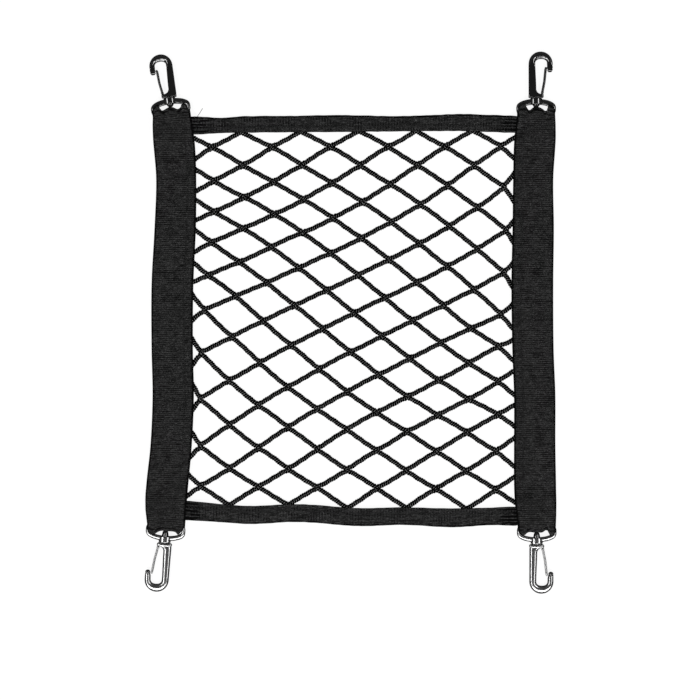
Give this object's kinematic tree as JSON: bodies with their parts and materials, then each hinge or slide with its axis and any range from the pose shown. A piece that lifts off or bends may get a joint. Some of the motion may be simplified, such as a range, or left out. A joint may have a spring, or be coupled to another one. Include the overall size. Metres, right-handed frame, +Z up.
{
  "type": "cargo net",
  "caption": "Small elastic cargo net with bound edges, webbing bands at its sides and a swivel snap hook at each corner.",
  "frame": {"origin": "middle of the outline, on the surface that the net lies on", "axes": "+X across the net, +Y along the bands toward the black hooks, +Z up off the surface"},
  "size_m": [0.3288, 0.4333, 0.0065],
  "materials": {
    "cord": "twisted elastic cord, matt black",
    "tape": "ribbed elastic binding tape, matt black",
    "webbing": "cross-ribbed woven webbing, matt black",
    "black_metal": "gloss black",
    "grey_metal": "polished dark nickel",
    "black_leaf": "gloss black spring leaf",
    "grey_leaf": "grey spring leaf"
  },
  "bodies": {
    "net_and_rings": {"net": "cord", "strip_top": "tape", "strip_bottom": "tape", "band_left": "webbing", "band_right": "webbing", "ring_tl": "black_metal", "ring_tr": "black_metal", "ring_bl": "grey_metal", "ring_br": "grey_metal"},
    "swivel_tl": {"hook_tl": "black_metal"},
    "leaf_tl": {"gate_tl": "black_leaf"},
    "swivel_tr": {"hook_tr": "black_metal"},
    "leaf_tr": {"gate_tr": "black_leaf"},
    "swivel_bl": {"hook_bl": "grey_metal"},
    "leaf_bl": {"gate_bl": "grey_leaf"},
    "swivel_br": {"hook_br": "grey_metal"},
    "leaf_br": {"gate_br": "grey_leaf"}
  },
  "joints": [
    {"name": "swivel_tl", "type": "hinge", "parent": "net_and_rings", "child": "swivel_tl", "pos_m": [-0.1436, 0.1706, 0.00345], "axis": [-0.1391, 0.9899, -0.0282], "continuous": true},
    {"name": "gate_tl", "type": "hinge", "parent": "swivel_tl", "child": "leaf_tl", "pos_m": [-0.15042, 0.18317, 0.00307], "axis": [0.0039, -0.0279, -0.9996], "range_deg": [0, 20], "stiffness_Nm_per_rad": 0.02, "springref_deg": -5.73},
    {"name": "swivel_tr", "type": "hinge", "parent": "net_and_rings", "child": "swivel_tr", "pos_m": [0.148, 0.1702, 0.00344], "axis": [0, 0.9996, -0.0267], "continuous": true},
    {"name": "gate_tr", "type": "hinge", "parent": "swivel_tr", "child": "leaf_tr", "pos_m": [0.153, 0.1836, 0.00308], "axis": [0, 0.0267, 0.9996], "range_deg": [0, 20], "stiffness_Nm_per_rad": 0.02, "springref_deg": -5.73},
    {"name": "swivel_bl", "type": "hinge", "parent": "net_and_rings", "child": "swivel_bl", "pos_m": [-0.1478, -0.1667, 0.00342], "axis": [-0.0871, -0.9959, -0.0251], "continuous": true},
    {"name": "gate_bl", "type": "hinge", "parent": "swivel_bl", "child": "leaf_bl", "pos_m": [-0.15395, -0.17961, 0.00309], "axis": [-0.0022, -0.025, 0.9997], "range_deg": [0, 20], "stiffness_Nm_per_rad": 0.02, "springref_deg": -5.73},
    {"name": "swivel_br", "type": "hinge", "parent": "net_and_rings", "child": "swivel_br", "pos_m": [0.1485, -0.1678, 0.00342], "axis": [0, -0.9997, -0.0251], "continuous": true},
    {"name": "gate_br", "type": "hinge", "parent": "swivel_br", "child": "leaf_br", "pos_m": [0.1535, -0.1812, 0.00309], "axis": [0, 0.0251, -0.9997], "range_deg": [0, 20], "stiffness_Nm_per_rad": 0.02, "springref_deg": -5.73}
  ]
}
